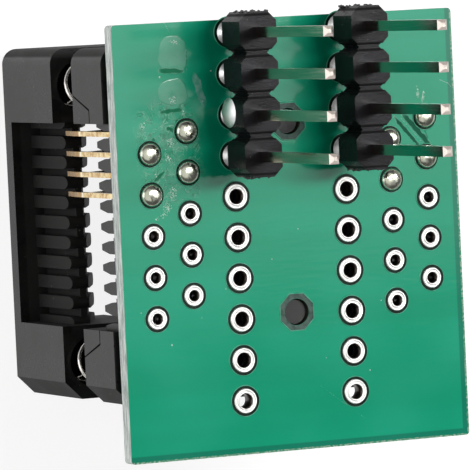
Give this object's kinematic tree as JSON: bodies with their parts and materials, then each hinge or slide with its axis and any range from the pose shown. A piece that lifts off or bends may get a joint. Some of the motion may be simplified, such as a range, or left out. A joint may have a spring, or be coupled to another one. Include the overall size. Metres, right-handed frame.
{
  "type": "chip adapter board",
  "caption": "Small circuit board with a press-down socket for a small-outline chip on one face and two rows of header pins on the other.",
  "frame": {"origin": "under the middle of the board, in the plane of the socket cover's outer face, on which the part lies", "axes": "+Z from the socket cover up to the pin tips, +Y along the pin rows towards the fitted pins, +X across the rows"},
  "size_m": [0.0238, 0.0275, 0.0312],
  "materials": {
    "board": "solder mask, glossy",
    "tinned_copper": "tinned",
    "header_plastic": "matt",
    "pin_metal": "tinned",
    "solder": "bright solder",
    "socket_plastic": "matt, moulded",
    "contact_metal": "gold plated",
    "spring_steel": "bright wire"
  },
  "bodies": {
    "board_and_base": {"circuit_board": "board", "pin_grid_pads": "tinned_copper", "socket_pads": "tinned_copper", "header_housing_left": "header_plastic", "header_housing_right": "header_plastic", "header_pin_left_1": "pin_metal", "header_pin_left_2": "pin_metal", "header_pin_left_3": "pin_metal", "header_pin_left_4": "pin_metal", "header_pin_right_1": "pin_metal", "header_pin_right_2": "pin_metal", "header_pin_right_3": "pin_metal", "header_pin_right_4": "pin_metal", "header_solder": "solder", "socket_solder": "solder", "socket_base": "socket_plastic", "contact_nest": "socket_plastic", "contact_left_1": "contact_metal", "contact_left_2": "contact_metal", "contact_left_3": "contact_metal", "contact_left_4": "contact_metal", "contact_right_1": "contact_metal", "contact_right_2": "contact_metal", "contact_right_3": "contact_metal", "contact_right_4": "contact_metal", "spring_left_front": "spring_steel", "spring_left_rear": "spring_steel", "spring_right_front": "spring_steel", "spring_right_rear": "spring_steel"},
    "cover": {"socket_cover": "socket_plastic"}
  },
  "joints": [
    {"name": "cover_press", "type": "slide", "parent": "board_and_base", "child": "cover", "axis": [0, 0, 1], "range_m": [0, 0.0032], "stiffness_N_per_m": 1500, "springref_m": -0.002, "deforming": ["spring_left_front", "spring_left_rear", "spring_right_front", "spring_right_rear"]}
  ]
}
